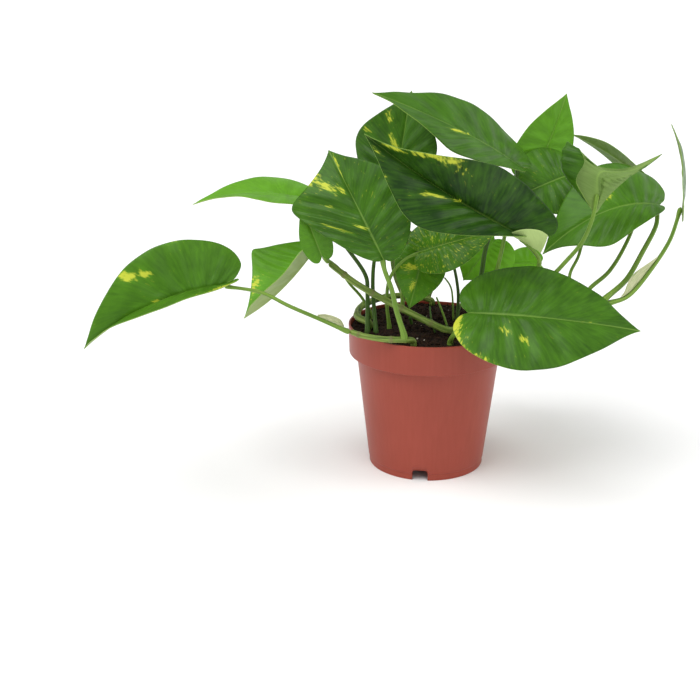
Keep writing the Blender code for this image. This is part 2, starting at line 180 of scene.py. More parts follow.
def rounded_profile(profile):
    """The profile's points with each corner cut to a small curve."""
    points = []
    for k, (r, z, corner) in enumerate(profile):
        here = Vector((r, 0.0, z))
        if not corner:
            points.append(here)
            continue
        before = Vector((profile[k - 1][0], 0.0, profile[k - 1][1]))
        after = Vector((profile[k + 1][0], 0.0, profile[k + 1][1]))
        start = here + (before - here).normalized() * min(corner, (before - here).length / 2.2)
        end = here + (after - here).normalized() * min(corner, (after - here).length / 2.2)
        for step in range(5):
            f = step / 4
            points.append((1 - f) ** 2 * start + 2 * f * (1 - f) * here + f * f * end)
    return points


def lathe(points, sides):
    """The points turned round the pot's axis into a closed wall."""
    bm = bmesh.new()
    ring = [bm.verts.new(point) for point in points]
    edges = [bm.edges.new(pair) for pair in zip(ring, ring[1:])]
    bmesh.ops.spin(
        bm, geom=ring + edges, axis=(0, 0, 1), cent=(0, 0, 0),
        angle=math.tau, steps=sides, use_merge=True,
    )
    bmesh.ops.remove_doubles(bm, verts=bm.verts, dist=0.001)
    bmesh.ops.recalc_face_normals(bm, faces=bm.faces)
    return bm


def notch_and_hole_cutter():
    """Blocks with rounded upper corners across the foot ring, and pegs in the plate."""
    bm = bmesh.new()
    for turn in range(NOTCHES):
        angle = math.radians(FIRST_NOTCH - 90.0 + 360.0 / NOTCHES * turn)
        block = bmesh.ops.create_cube(bm, size=1.0)["verts"]
        bmesh.ops.scale(bm, vec=(NOTCH_REACH, NOTCH_WIDTH, 2 * NOTCH_HEIGHT), verts=block)
        corners = [
            edge for edge in bm.edges
            if all(v in block and v.co.z > 0 for v in edge.verts)
            and abs(edge.verts[0].co.y - edge.verts[1].co.y) < 0.01
        ]
        made = bmesh.ops.bevel(
            bm, geom=corners, offset=NOTCH_CORNER, segments=8, profile=0.5, affect="EDGES",
            material=-1,
        )
        block = list({v for v in block if v.is_valid} | set(made["verts"]))
        turned = Matrix.Rotation(angle, 4, "Z") @ Matrix.Translation((FOOT_RADIUS, 0, 0))
        bmesh.ops.transform(bm, matrix=turned, verts=block)
    for turn in range(HOLES):
        angle = math.tau * turn / HOLES
        spot = (HOLE_RING * math.cos(angle), HOLE_RING * math.sin(angle), BASE_UNDERSIDE)
        bmesh.ops.create_cone(
            bm, cap_ends=True, segments=40, radius1=HOLE_RADIUS, radius2=HOLE_RADIUS,
            depth=HOLE_PEG, matrix=Matrix.Translation(spot),
        )
    bmesh.ops.recalc_face_normals(bm, faces=bm.faces)
    bmesh.ops.scale(bm, vec=(MM, MM, MM), verts=bm.verts)
    bmesh.ops.translate(bm, vec=AXIS, verts=bm.verts)
    mesh = bpy.data.meshes.new("cutter")
    bm.to_mesh(mesh)
    bm.free()
    tool = bpy.data.objects.new("cutter", mesh)
    bpy.context.scene.collection.objects.link(tool)
    return tool


# Moulded polypropylene: an even brick red, satin, with a slightly cloudy pigment, faint
# flow lines that run up the wall and a fine orange-peel from the mould.
plastic, shader = new_material("moulded_polypropylene_terracotta", Roughness=0.42,
                               Specular_IOR_Level=0.35)
tree = plastic.node_tree
place = add_node(tree, "TexCoord").outputs["Object"]
# Clouds about 36 mm across, flow lines 2.4 mm wide and 70 mm tall, peel of 1.1 mm.
cloud = add_noise(tree, place, 28.0, 3.0)
flow = add_noise(tree, place, (420.0, 420.0, 14.0), 2.0)
both = add_node(tree, "Math", {0: cloud, 1: flow}, operation="ADD")
share = spread(tree, both.outputs[0], 0.55, 1.45)
tint = blend(tree, share, linear("#8f3b2a"), linear("#9a4232"))
peel = add_noise(tree, place, 900.0, 2.0)
finish_skin(tree, shader, tint, peel, 0.12, 0.0003)

pot = finish_piece(
    lathe(rounded_profile(POT_PROFILE), POT_SIDES), "nursery_pot", [plastic], ["pot"],
    30.0,
)
tool = notch_and_hole_cutter()
cut = pot.modifiers.new("notches", "BOOLEAN")
cut.operation = "DIFFERENCE"
cut.solver = "EXACT"
cut.object = tool
bpy.context.view_layer.update()
graph = bpy.context.evaluated_depsgraph_get()
whole = bpy.data.meshes.new_from_object(pot.evaluated_get(graph))
pot.modifiers.clear()
pot.data = whole
pot.data.name = "nursery_pot"
bpy.data.objects.remove(tool, do_unlink=True)

# ---------------------------------------------------------------- peat
# Loose peat compost, dark brown and moist. It is filled to just under the rim and a
# little heaped round the vines, with crumbs and a few white bits of perlite.

GAP = 0.3
SOIL_EDGE = 107.5
SOIL_MOUND = 5.5
SOIL_RADIUS = RIM_RADIUS - WALL - 0.5 - GAP
SOIL_GRID = 110
CRUMBS = 1500
PERLITE = 14


def soil_height(x, y):
    """The mound's height over a place: highest in the middle, a little lower in front."""
    out = min(math.hypot(x, y) / SOIL_RADIUS, 1.0)
    return SOIL_EDGE + SOIL_MOUND * (1.0 - out ** 2.5) + 1.5 * y / SOIL_RADIUS * out


def lumpy_height(x, y):
    """The mound with its lumps, which die out at the pot's wall."""
    out = min(math.hypot(x, y) / SOIL_RADIUS, 1.0)
    # Clods about 7 mm across, and crumbs of 2.6 mm.
    lumps = 1.5 * noise.noise(Vector((x, y, 3.0)) / 7.0)
    lumps += 0.9 * noise.noise(Vector((x, y, 9.0)) / 2.6)
    return soil_height(x, y) - 1.0 + lumps * min(1.0, 3.0 * (1.04 - out))


# Peat: nearly black brown, dead matt, redder where a crumb is drier.
peat, shader = new_material("moist_peat", Roughness=0.95, Specular_IOR_Level=0.2)
tree = peat.node_tree
place = add_node(tree, "TexCoord").outputs["Object"]
# Grains 2.4 mm across, with finer ones on them.
crumb = add_noise(tree, place, 420.0, 6.0)
tint = blend(tree, spread(tree, crumb, 0.35, 0.7), linear("#120c09"), linear("#3a261b"))
finish_skin(tree, shader, tint, crumb, 0.8, 0.0012)

bm = bmesh.new()
bmesh.ops.create_grid(bm, x_segments=SOIL_GRID, y_segments=SOIL_GRID, size=1.0)
for vert in bm.verts:
    x, y = vert.co.x, vert.co.y
    x, y = x * math.sqrt(1 - y * y / 2), y * math.sqrt(1 - x * x / 2)
    x, y = x * SOIL_RADIUS, y * SOIL_RADIUS
    vert.co = (x, y, lumpy_height(x, y))
edge = [e for e in bm.edges if e.is_boundary]
for radius, height in (
    (SOIL_RADIUS, SOIL_EDGE - 6.0),
    (SOIL_RADIUS - 0.1, RIM_UNDERSIDE + WALL + GAP),
    (NECK_RADIUS - WALL - GAP, RIM_UNDERSIDE - 1.0),
    (WAIST_RADIUS - WALL, PLATE_TOP + GAP),
):
    made = bmesh.ops.extrude_edge_only(bm, edges=edge)["geom"]
    edge = [e for e in made if isinstance(e, bmesh.types.BMEdge) and e.is_boundary]
    for vert in {v for e in edge for v in e.verts}:
        share = radius / math.hypot(vert.co.x, vert.co.y)
        vert.co = (vert.co.x * share, vert.co.y * share, height)
bmesh.ops.edgeloop_fill(bm, edges=edge)
bmesh.ops.recalc_face_normals(bm, faces=bm.faces)
finish_piece(bm, "peat_fill", [peat], ["soil"], 60.0)


def scatter(name, count, seed, sizes, finish, reach=0.96):
    """Crumbs of the given smallest and largest size, half sunk into the peat."""
    dice = random.Random(seed)
    bm = bmesh.new()
    for _ in range(count):
        out = SOIL_RADIUS * reach * math.sqrt(dice.random())
        turn = math.tau * dice.random()
        x, y = out * math.cos(turn), out * math.sin(turn)
        size = sizes[0] + (sizes[1] - sizes[0]) * dice.random() ** 3
        spin = Matrix.Rotation(math.tau * dice.random(), 4, (dice.random(), 1.0, dice.random()))
        shape = Matrix.Diagonal((1.0, 0.6 + 0.5 * dice.random(), 0.5 + 0.4 * dice.random(), 1.0))
        where = Matrix.Translation((x, y, lumpy_height(x, y) + 0.15 * size))
        made = bmesh.ops.create_icosphere(
            bm, subdivisions=1, radius=size / 2, matrix=where @ spin @ shape
        )["verts"]
        for vert in made:
            vert.co += 0.18 * size * noise.noise_vector(vert.co / size)
    return finish_piece(bm, name, [finish], [], 25.0)


scatter("peat_crumbs", CRUMBS, 3, (0.7, 3.6), peat)

# Perlite: expanded volcanic glass, chalk white and dusty with peat.
perlite, shader = new_material("perlite", Roughness=0.85, Base_Color=linear("#b9b3a4"))
scatter("perlite_bits", PERLITE, 8, (0.8, 1.9), perlite)

# ---------------------------------------------------------------- vines
# The running stems: round, green, about 5 mm thick, with a pale ring and a
# brown scale scar at each node. They root in the peat and lie over the rim.

# A stalk meets its blade at this place along the midrib, and keeps this share of its
# radius there.
SEAT = 0.15
TOP_SHARE = 0.75
ROOT_DEPTH = 5.0
VINE_STEPS = 90
TUBE_SIDES = 18
NODE_SPACING = 24.0
NODE_OFFSET = 7.0
NODE_SWELL = 1.3
SCAR_WIDTH = 1.1


def smooth(points, t):
    """The point at fraction t of a smooth curve through the given points."""
    spot = t * (len(points) - 1)
    i = min(int(spot), len(points) - 2)
    f = spot - i
    a, b, c, d = (Vector(points[min(max(k, 0), len(points) - 1)]) for k in range(i - 1, i + 3))
    return b + 0.5 * f * ((c - a) + f * ((2 * a - 5 * b + 4 * c - d) + f * (3 * (b - c) + d - a)))


# Each vine's radius and its route, from where it leaves the soil. A height of None is
# the soil's own.
VINES = {
    "main": dict(radius=2.7, route=[(17, -33, None), (8, -34, 116), (-14, -34, 127), (-35, -33,
                                                                                      138),
                                    (-53, -31, 148), (-66, -28, 157), (-74, -26, 163)]),
    "front": dict(radius=2.4, route=[(-14, -48, None), (-21, -54, 114), (-36, -54, 114.5),
                                     (-50, -49, 115.5), (-59, -45, 117.5)]),
    "right": dict(radius=2.3, route=[(28, -18, None), (42, -17, 117), (68, -16, 120), (95, -16,
                                                                                       123),
                                     (115, -17, 127), (128, -17, 130)]),
    "back": dict(radius=2.8, route=[(-45, -10, None), (-53, 2, 114), (-51, 22, 115.5), (-40, 39,
                                                                                        116.5),
                                    (-24, 49, 117), (-8, 52, 116), (5, 47, None)]),
}

# Each stalk's foot, the places it passes and its radius at the foot. A foot is a place
# on the soil (x, y), or (vine, fraction of the vine, direction it leaves the vine).
STALKS = {
    "front_low": dict(foot=(13, -46), via=[(16, -58, 122), (20, -70, 133)], radius=1.7),
    "left": dict(foot=("front", 1.0, (-70, 20)), via=[(-80, -53, 129), (-101, -58, 140), (-121,
                                                                                          -61,
                                                                                          151)],
                 radius=1.7),
    "left_high": dict(foot=(-46, -19), via=[(-46, -8, 135), (-48, 1, 148), (-63, 5, 169), (-78,
                                                                                           12,
                                                                                           189)],
                      radius=1.7),
    "left_low": dict(foot=(-42, 12), via=[(-50, 13, 126), (-59, 8, 138), (-67, 0, 152), (-76, -6,
                                                                                         161)],
                     radius=1.2),
    "centre": dict(foot=("front", 0.25, (0, 80)), via=[(-26, -56, 135), (-30, -57, 152), (-35,
                                                                                          -58,
                                                                                          166)],
                   radius=2.0),
    "centre_back": dict(foot=(-40, -19), via=[(-42, -4, 140), (-40, 5, 161), (-32, 12, 178)],
                        radius=1.6),
    "top": dict(foot=(34, 8), via=[(40, 16, 140), (44, 20, 165), (54, 20, 195), (63, 16, 215)],
                radius=1.9),
    "front_high": dict(foot=(38, -24), via=[(55, -28, 132), (70, -32, 152), (75, -36, 168)],
                       radius=1.9),
    "right_top": dict(foot=(42, 14), via=[(50, 18, 135), (56, 26, 158), (70, 66, 192)],
                      radius=1.7),
    "right_back": dict(foot=("right", 0.72, (0, 80)), via=[(103, -6, 147), (112, 8, 162), (118,
                                                                                           26,
                                                                                           185)],
                       radius=1.3),
    "right_thin": dict(foot=("right", 0.8, (100, 70)), via=[(118, -5, 137), (134, 5, 148), (147,
                                                                                            18,
                                                                                            163),
                                                           (157, 32, 180), (163, 48, 200)],
                                                           radius=1.6),
    "saddle": dict(foot=("right", 0.45, (0, 70)), via=[(80, -27, 145), (92, -34, 163), (103, -42,
                                                                                        181),
                                                      (109, -45, 199)], radius=1.7),
    "right": dict(foot=("right", 0.97, (60, 70)), via=[(146, -2, 144), (159, 9, 162), (170, 18,
                                                                                       181)],
                  radius=2.1),
    "far_right": dict(foot=("right", 1.0, (90, 10)), via=[(146, -15, 136), (161, -10, 153), (175,
                                                                                             -5,
                                                                                             175)],
                      radius=1.8),
    "back_low": dict(foot=(40, 30), via=[(46, 42, 130), (52, 46, 150)], radius=1.4),
    "back_right": dict(foot=(48, 22), via=[(62, 34, 122), (82, 44, 133)], radius=1.3),
    "small_middle": dict(foot=(-30, -16), via=[(-32, -19, 132), (-30, -21, 150), (-20, -19, 163)],
                         radius=1.4),
    "small_low": dict(foot=(22, 2), via=[(22, 6, 135), (16, 6, 158), (4, 0, 165)], radius=1.3),
    "small_left": dict(foot=("main", 1.0, (-80, 45)), via=[], radius=1.2),
    "back_hanging": dict(foot=(-18, 38), via=[(-18, 46, 135), (-15, 52, 152)], radius=1.5),
    "back_over_rim": dict(foot=(38, 36), via=[(48, 48, 120)], radius=1.6),
}


def route_points(route, count):
    """Points at even shares of the smooth route, and how far along it each one is."""
    points = [smooth(route, k / (count - 1)) for k in range(count)]
    lengths = [0.0]
    for a, b in zip(points, points[1:]):
        lengths.append(lengths[-1] + (b - a).length)
    return points, lengths


def stem(name, route, count, radius_at, finish, nodes, groove=0.0):
    """A stem along the route. radius_at takes the distance from the foot and the length;
    groove is the depth of the channel along its upper side, as a share of the radius."""
    points, lengths = route_points(route, count)
    bm = bmesh.new()
    bmesh.ops.create_grid(bm, x_segments=count - 1, y_segments=TUBE_SIDES, size=1.0)
    uv = bm.loops.layers.uv.new("along")
    frames = []
    upper = Vector((0.0, 0.0, 1.0))
    for k in range(count):
        run = (points[min(k + 1, count - 1)] - points[max(k - 1, 0)]).normalized()
        # A stem that starts upright has its channel towards the way it leans.
        if k == 0 and abs(run.z) > 0.9:
            upper = Vector((-run.x, -run.y, 0.0)) + Vector((0.0, 0.3, 0.0))
        upper = (upper - run * upper.dot(run)).normalized()
        frames.append((run, upper, run.cross(upper)))
    for face in bm.faces:
        for loop in face.loops:
            k = round((loop.vert.co.x + 1) / 2 * (count - 1))
            loop[uv].uv = (lengths[k] * MM, (loop.vert.co.y + 1) / 2)
    for vert in bm.verts:
        k = round((vert.co.x + 1) / 2 * (count - 1))
        angle = math.pi * vert.co.y
        run, up, side = frames[k]
        radius = radius_at(lengths[k], lengths[-1])
        channel = groove * math.exp(-(angle / 0.55) ** 2)
        rim = 0.35 * groove * math.exp(-((abs(angle) - 0.95) / 0.35) ** 2)
        radius *= 1.0 - channel + rim
        vert.co = points[k] + radius * (math.cos(angle) * up + math.sin(angle) * side)
    bmesh.ops.remove_doubles(bm, verts=bm.verts, dist=0.0005)
    ends = [e for e in bm.edges if e.is_boundary]
    bmesh.ops.holes_fill(bm, edges=ends, sides=0)
    bmesh.ops.recalc_face_normals(bm, faces=bm.faces)
    return finish_piece(bm, name, [finish], nodes, 60.0)


def dome(distance, length, radius):
    """How much of its radius a stem keeps near its two rounded ends."""
    near = min(distance, length - distance)
    if near >= radius:
        return 1.0
    return math.sqrt(max(0.04, 1.0 - (1.0 - near / radius) ** 2))


# Living stem: waxy green skin, paler in lengthwise streaks, and a brown-grey ring at each
# node, where a scale leaf has dried and dropped.
green_bark, shader = new_material("pothos_stem", Roughness=0.42, Specular_IOR_Level=0.2)
tree = green_bark.node_tree
flat = add_node(tree, "UVMap", uv_map="along").outputs[0]
# Streaks 25 mm long, nine round the stem.
streak = add_noise(tree, flat, (40.0, 9.0, 1.0), 3.0)
skin = blend(tree, spread(tree, streak, 0.35, 0.65), linear("#48621f"), linear("#8ba04e"))
ring_at = add_node(tree, "Attribute", attribute_name="ring").outputs["Fac"]
ringed = blend(tree, ring_at, skin, linear("#6f6a45"))
finish_skin(tree, shader, ringed, streak, 0.3, 0.0004)


def vine_route(vine):
    """The vine's points, with ends on the peat carried down into it."""
    reach = vine["radius"] + 2 * GAP
    return [(x, y, soil_height(x, y) + reach if z is None else z) for x, y, z in vine["route"]]


def from_node(distance):
    """How far a place on a vine is past its nearest node."""
    return (distance + NODE_OFFSET) % NODE_SPACING - NODE_OFFSET


for name, vine in VINES.items():
    thick = vine["radius"]

    def vine_radius(distance, length):
        node = math.exp(-(from_node(distance) / NODE_SWELL) ** 2)
        taper = 1.0 - 0.15 * distance / length
        return thick * taper * (0.97 + 0.22 * node) * dome(distance, length, thick)

    route = vine_route(vine)
    if vine["route"][0][2] is None:
        route = [(route[0][0], route[0][1], route[0][2] - ROOT_DEPTH)] + route
    if vine["route"][-1][2] is None:
        route = route + [(route[-1][0], route[-1][1], route[-1][2] - ROOT_DEPTH)]
    piece = stem("vine_stem_" + name, route, VINE_STEPS, vine_radius, green_bark,
                 ["vine_" + name])
    ring = piece.data.attributes.new("ring", "FLOAT", "POINT")
    for face in piece.data.polygons:
        for corner in face.loop_indices:
            distance = piece.data.uv_layers["along"].data[corner].uv[0] / MM
            scar = 0.8 * math.exp(-(from_node(distance) / SCAR_WIDTH) ** 2)
            ring.data[piece.data.loops[corner].vertex_index].value = scar

# ---------------------------------------------------------------- leaf blades
# Heart-shaped evergreen blades, leathery and waxed above and paler and duller below. Each
# half is quilted between its side veins, with a sunk midrib and a thin pale margin, and
# yellow flecks run along the veins. Each blade sits on the end of its own stalk.

# Half of a heart-shaped blade laid flat: (lengths from the notch, half widths from the
# midrib), from the notch round the lobe to the tip.
HALF_OUTLINE = [
    (0.0, 0.0), (-0.07, 0.12), (-0.115, 0.38), (-0.06, 0.70), (0.10, 0.93), (0.28, 1.0),
    (0.50, 0.86), (0.72, 0.53), (0.88, 0.21), (0.96, 0.06), (1.0, 0.0),
]
VEIN_SPREAD = 2.2
LOBE_END = 0.15
LOBE_LENGTH = 0.27
RIPPLE_WAVES = 11.0
RIPPLE_SHIFT = 2.0
NEAR = 0.01
BLADE = 0.5
LEAF_ROWS = 110
HALF_LEAF_COLUMNS = 30
BLADE_START = 0.006
BLADE_SPAN = 0.988
# The rolled blade has no width of its own, so its skin is made as on a blade this wide.
USUAL_WIDTH = 60.0
SIDE_VEINS = 11
VEIN_LEAN = 0.35
QUILT = 0.7
QUILT_WIDTH = 80.0
QUILT_START = 6.0
WARP = 1.6
WARP_SIZE = 21.0
WARP_START = 8.0
MIDRIB_WIDTH = 1.3
MIDRIB_DEPTH = 0.8
RIB_WIDTH = 0.45
RIB_LEVEL = 0.45


def direction(azimuth, elevation):
    """Azimuth 0 looks out of the plant's front, 90 to its right; elevation 90 is up."""
    a, e = math.radians(azimuth), math.radians(elevation)
    return Vector((math.sin(a) * math.cos(e), -math.cos(a) * math.cos(e), math.sin(e)))


def half_value(leaf, key, usual, s):
    """The leaf's value for its left half (s below 0) or its right half."""
    value = leaf.get(key, usual)
    return value[s > 0] if isinstance(value, tuple) else value


def funnel_point(curves, t, s):
    """A point, and its normal, of a blade given as curves from the notch to the tip."""
    def place(t, s):
        return smooth([smooth(curve, t) for curve in curves], (s + 1) / 2)

    across = place(t, min(s + NEAR, 1.0)) - place(t, max(s - NEAR, -1.0))
    along = place(min(t + NEAR, 1.0), s) - place(max(t - NEAR, 0.0), s)
    return place(t, s), across.cross(along).normalized()


def blade_point(leaf, t, s):
    """A point of the blade, and its normal, on the vein at t (0 notch, 1 tip) and the
    fraction s of the way from the midrib to the margin (below 0 on the left half)."""
    if "curves" in leaf:
        return funnel_point(leaf["curves"], t, s)
    base, tip = Vector(leaf["base"]), Vector(leaf["tip"])
    length = (tip - base).length
    along = (tip - base) / length
    facing = direction(*leaf["face"])
    up = (facing - along * facing.dot(along)).normalized()
    side = along.cross(up)

    reach = abs(s)
    edge_x, edge_out = smooth(HALF_OUTLINE, t)
    edge_x += half_value(leaf, "sweep", 0.0, s) * edge_out * (1 - edge_x)
    root = t ** VEIN_SPREAD
    x = root + (edge_x - root) * reach
    out = edge_out * reach * leaf["width"] / 2 * half_value(leaf, "half", 1.0, s)

    u = max(x, 0.0)
    middle = (base + tip) / 2 + 2 * leaf.get("arch", 0.0) * up + 2 * leaf.get("sway", 0.0) * side
    spine = (1 - u) ** 2 * base + 2 * u * (1 - u) * middle + u * u * tip
    run = (2 * (1 - u) * (middle - base) + 2 * u * (tip - middle)).normalized()
    spine = spine + min(x, 0.0) * length * run

    rise = (up - run * up.dot(run)).normalized()
    rise = Matrix.Rotation(math.radians(leaf.get("twist", 0.0) * u), 3, run) @ rise
    across = run.cross(rise) * (1 if s > 0 else -1)
    cup = half_value(leaf, "cup", 20.0, s) * edge_out * reach / 2
    tilt = math.radians(half_value(leaf, "fold", 10.0, s) - cup)
    behind = max(0.0, LOBE_END - x) / LOBE_LENGTH
    lift = half_value(leaf, "lobe", 0.0, s) * behind * behind * reach
    wave = math.sin(RIPPLE_WAVES * t + (RIPPLE_SHIFT if s > 0 else 0.0))
    lift += leaf.get("ripple", 1.0) * reach * reach * edge_out * wave
    return spine + out * (math.cos(tilt) * across + math.sin(tilt) * rise) + lift * rise, rise


LEAVES = {
    "front_low": dict(base=(22, -80, 142), tip=(142, -72, 126), face=(0, 50), width=84, arch=4,
                      half=(1.08, 1.0), cup=30, sweep=(0.18, 0.06)),
    "left": dict(base=(-144, -62, 157), tip=(-243, -75, 114), face=(-10, 52), width=74, arch=14,
                 fold=(48, 36), cup=10, half=(1.0, 0.96), sweep=(0.2, 0.0), lobe=(8, 0)),
    "left_high": dict(base=(-87, 15, 201), tip=(-175, 10, 198), face=(0, 88), width=46, arch=7,
                      fold=(8, 25)),
    "left_low": dict(base=(-84, -2, 169), tip=(-138, -9, 116), face=(-45, 35), width=72, arch=4,
                     sway=-10, fold=(65, 15), half=(1.0, 1.3), sweep=(0.0, 0.3)),
    "centre": dict(base=(-36, -62, 175), tip=(-74, -20, 243), face=(0, 20), width=90, arch=4,
                   fold=(5, 25), half=(0.93, 0.8), sweep=(0.56, 0.2)),
    "centre_back": dict(base=(-25, 12, 202), tip=(-14, 25, 279), face=(-25, 15), width=74, arch=3,
                        half=(1.02, 0.75), sweep=(0.3, 0.3)),
    "top": dict(base=(66, 10, 226), tip=(-44, -25, 283), face=(0, 60), width=74, arch=5,
                half=(0.75, 0.96), sweep=(0.35, 0.05), ripple=2.5),
    "front_high": dict(base=(61, -51, 188), tip=(-50, -88, 264), face=(5, 58), width=80, arch=-4,
                       fold=40, twist=-80, half=(0.9, 0.84), sweep=(0.4, -0.1), lobe=(10, 0)),
    "right_top": dict(base=(88, 62, 219), tip=(107, 70, 272), face=(15, 10), width=56, arch=2,
                      half=(0.88, 0.7), sweep=(-0.25, 0.0)),
    "right_back": dict(base=(108, 46, 214), tip=(58, 28, 196), face=(0, 40), width=60, arch=2),
    "right_thin": dict(base=(164, 66, 211), tip=(112, 72, 241), face=(180, 62), width=24, arch=3),
    # A funnel-shaped blade seen from below, with one lobe rolled over: its curves run
    # from the lower margin, past the midrib, to the rolled margin.
    "saddle": dict(curves=[
        [(112, -41, 203), (121, -40, 215), (127, -39, 221), (132, -37, 225), (137, -35, 229),
         (148, -30, 234), (159, -25, 241)],
        [(111, -42, 203), (116, -42, 217), (118, -44, 225), (124, -43, 227), (132, -39, 228),
         (145, -32, 232), (159, -25, 241)],
        [(111, -41, 202), (112, -39, 217), (112, -38, 227), (116, -35, 230), (123, -33, 229),
         (140, -29, 230), (159, -25, 241)],
        [(110, -41, 203), (90, -42, 228), (86, -41, 241), (92, -36, 250), (109, -33, 234),
         (133, -28, 229), (159, -25, 241)],
        [(110, -41, 204), (96, -48, 225), (100, -51, 240), (96, -44, 249), (109, -32, 235),
         (133, -27, 231), (159, -25, 241)],
    ]),
    "right": dict(base=(173, 25, 195), tip=(84, 6, 161), face=(0, 55), width=76, arch=20,
                  half=(0.76, 1.15), sweep=(0.4, -0.14)),
    "far_right": dict(base=(184, 0, 197), tip=(169, -5, 259), face=(74, 10), width=36, arch=4,
                      fold=3, cup=5),
    "back_low": dict(base=(52, 38, 165), tip=(29, 40, 132), face=(0, 10), width=48, arch=2),
    "back_right": dict(base=(88, 46, 144), tip=(56, 50, 142), face=(0, 50), width=30, arch=2),
    "small_middle": dict(base=(-8, -20, 170), tip=(48, -15, 184), face=(0, 40), width=44, arch=2),
    "small_low": dict(base=(-5, -8, 166), tip=(-16, -28, 129), face=(0, 10), width=38, arch=2),
    "small_left": dict(base=(-79, -40, 172), tip=(-93, -38, 208), face=(0, 20), width=22, arch=2),
    "back_hanging": dict(base=(-8, 54, 163), tip=(-3, 84, 76), face=(180, 20), width=40, arch=8),
    "back_over_rim": dict(base=(62, 62, 128), tip=(92, 108, 66), face=(150, 30), width=58, arch=8),
}

# How each blade is coloured: tone from 0, the darkest green, to 1, the palest, partly the
# blade's own green, paler when young, and partly painted light, paler where a blade is lit
# from behind or catches strong light; speckle, the share of small flecks; and larger yellow
# patches, each as (place along the veins, place from midrib to margin, its half sizes in
# both, strength).
COLOURS = {
    "front_low": dict(tone_and_painted_light=0.24, speckle=0.10, patches=[
        (0.15, 0.90, 0.09, 0.30, 1.3), (0.24, 1.0, 0.08, 0.10, 0.9), (0.33, 1.0, 0.08, 0.06, 0.7),
        (0.46, 0.33, 0.03, 0.14, 0.6), (0.52, 0.52, 0.02, 0.16, 0.5), (0.83, -0.1, 0.03, 0.06,
                                                                       0.4),
    ]),
    "left": dict(tone_and_painted_light=0.37, speckle=0.12, patches=[
        (0.63, 0.84, 0.014, 0.16, 1.2), (0.60, 0.66, 0.012, 0.10, 1.2), (0.28, -0.95, 0.07, 0.25,
                                                                         1.0),
        (0.48, 1.0, 0.02, 0.05, 0.6), (0.68, 0.05, 0.02, 0.06, 0.8),
    ]),
    "left_high": dict(tone_and_painted_light=0.74, speckle=0.1, patches=[]),
    "left_low": dict(tone_and_painted_light=0.62, speckle=0.15, patches=[
        (0.72, 0.85, 0.05, 0.16, 0.9), (0.67, 0.60, 0.03, 0.10, 0.5),
    ]),
    "centre": dict(tone_and_painted_light=0.19, speckle=0.5, patches=[
        (0.90, 0.45, 0.03, 0.35, 1.0), (0.88, 0.10, 0.03, 0.15, 0.9), (0.72, -1.0, 0.04, 0.10,
                                                                       0.9),
        (0.72, -0.70, 0.025, 0.25, 1.0), (0.75, -0.30, 0.02, 0.15, 0.8), (0.62, -0.50, 0.02, 0.10,
                                                                          0.6),
        (0.42, -0.55, 0.02, 0.16, 0.8), (0.42, -0.35, 0.02, 0.10, 0.8), (0.53, -0.10, 0.02, 0.10,
                                                                         0.9),
    ]),
    "centre_back": dict(tone_and_painted_light=0.20, speckle=0.3, patches=[
        (0.73, -0.75, 0.02, 0.18, 0.8), (0.68, -0.25, 0.02, 0.20, 1.0), (0.60, -0.85, 0.02, 0.12,
                                                                         0.6),
    ]),
    "top": dict(tone_and_painted_light=0.26, speckle=0.12, patches=[
        (0.66, -0.22, 0.02, 0.16, 1.0), (0.65, -0.02, 0.015, 0.06, 0.9),
    ]),
    "front_high": dict(tone_and_painted_light=0.06, speckle=0.30, patches=[
        (0.80, 0.95, 0.04, 0.12, 1.0), (0.70, 0.98, 0.05, 0.12, 1.0), (0.66, 0.92, 0.03, 0.12,
                                                                       1.0),
        (0.67, -0.40, 0.015, 0.20, 1.0), (0.65, -0.05, 0.015, 0.12, 0.8), (0.85, -0.90, 0.04,
                                                                           0.12, 0.6),
        (0.72, -1.0, 0.03, 0.06, 0.5), (0.63, 0.70, 0.03, 0.10, 0.5),
    ]),
    "right_top": dict(tone_and_painted_light=0.62, speckle=0.10, patches=[]),
    "right_back": dict(tone_and_painted_light=0.22, speckle=0.5, patches=[]),
    "right_thin": dict(tone_and_painted_light=0.10, speckle=0.05, patches=[]),
    "saddle": dict(tone_and_painted_light=0.22, speckle=0.30, patches=[]),
    "right": dict(tone_and_painted_light=0.32, speckle=0.3, patches=[(0.62, 0.35, 0.03, 0.12, 0.9), (0.55, 0.7,
                                                                                   0.03, 0.1,
                                                                                   0.8)]),
    "far_right": dict(tone_and_painted_light=0.30, speckle=0.1, patches=[]),
    "back_low": dict(tone_and_painted_light=1.1, speckle=0.3, patches=[(0.5, 0.9, 0.08, 0.15, 0.8)]),
    "back_right": dict(tone_and_painted_light=1.15, speckle=0.2, patches=[]),
    "small_middle": dict(tone_and_painted_light=0.26, speckle=1.0, patches=[(0.45, -0.3, 0.04, 0.15, 0.6)]),
    "small_low": dict(tone_and_painted_light=0.42, speckle=0.6, patches=[
        (0.55, 0.25, 0.04, 0.5, 1.0), (0.75, 0.3, 0.05, 0.3, 0.9),
    ]),
    "small_left": dict(tone_and_painted_light=0.45, speckle=0.2, patches=[]),
    "back_hanging": dict(tone_and_painted_light=0.20, speckle=0.2, patches=[]),
    "back_over_rim": dict(tone_and_painted_light=0.30, speckle=0.4, patches=[]),
}


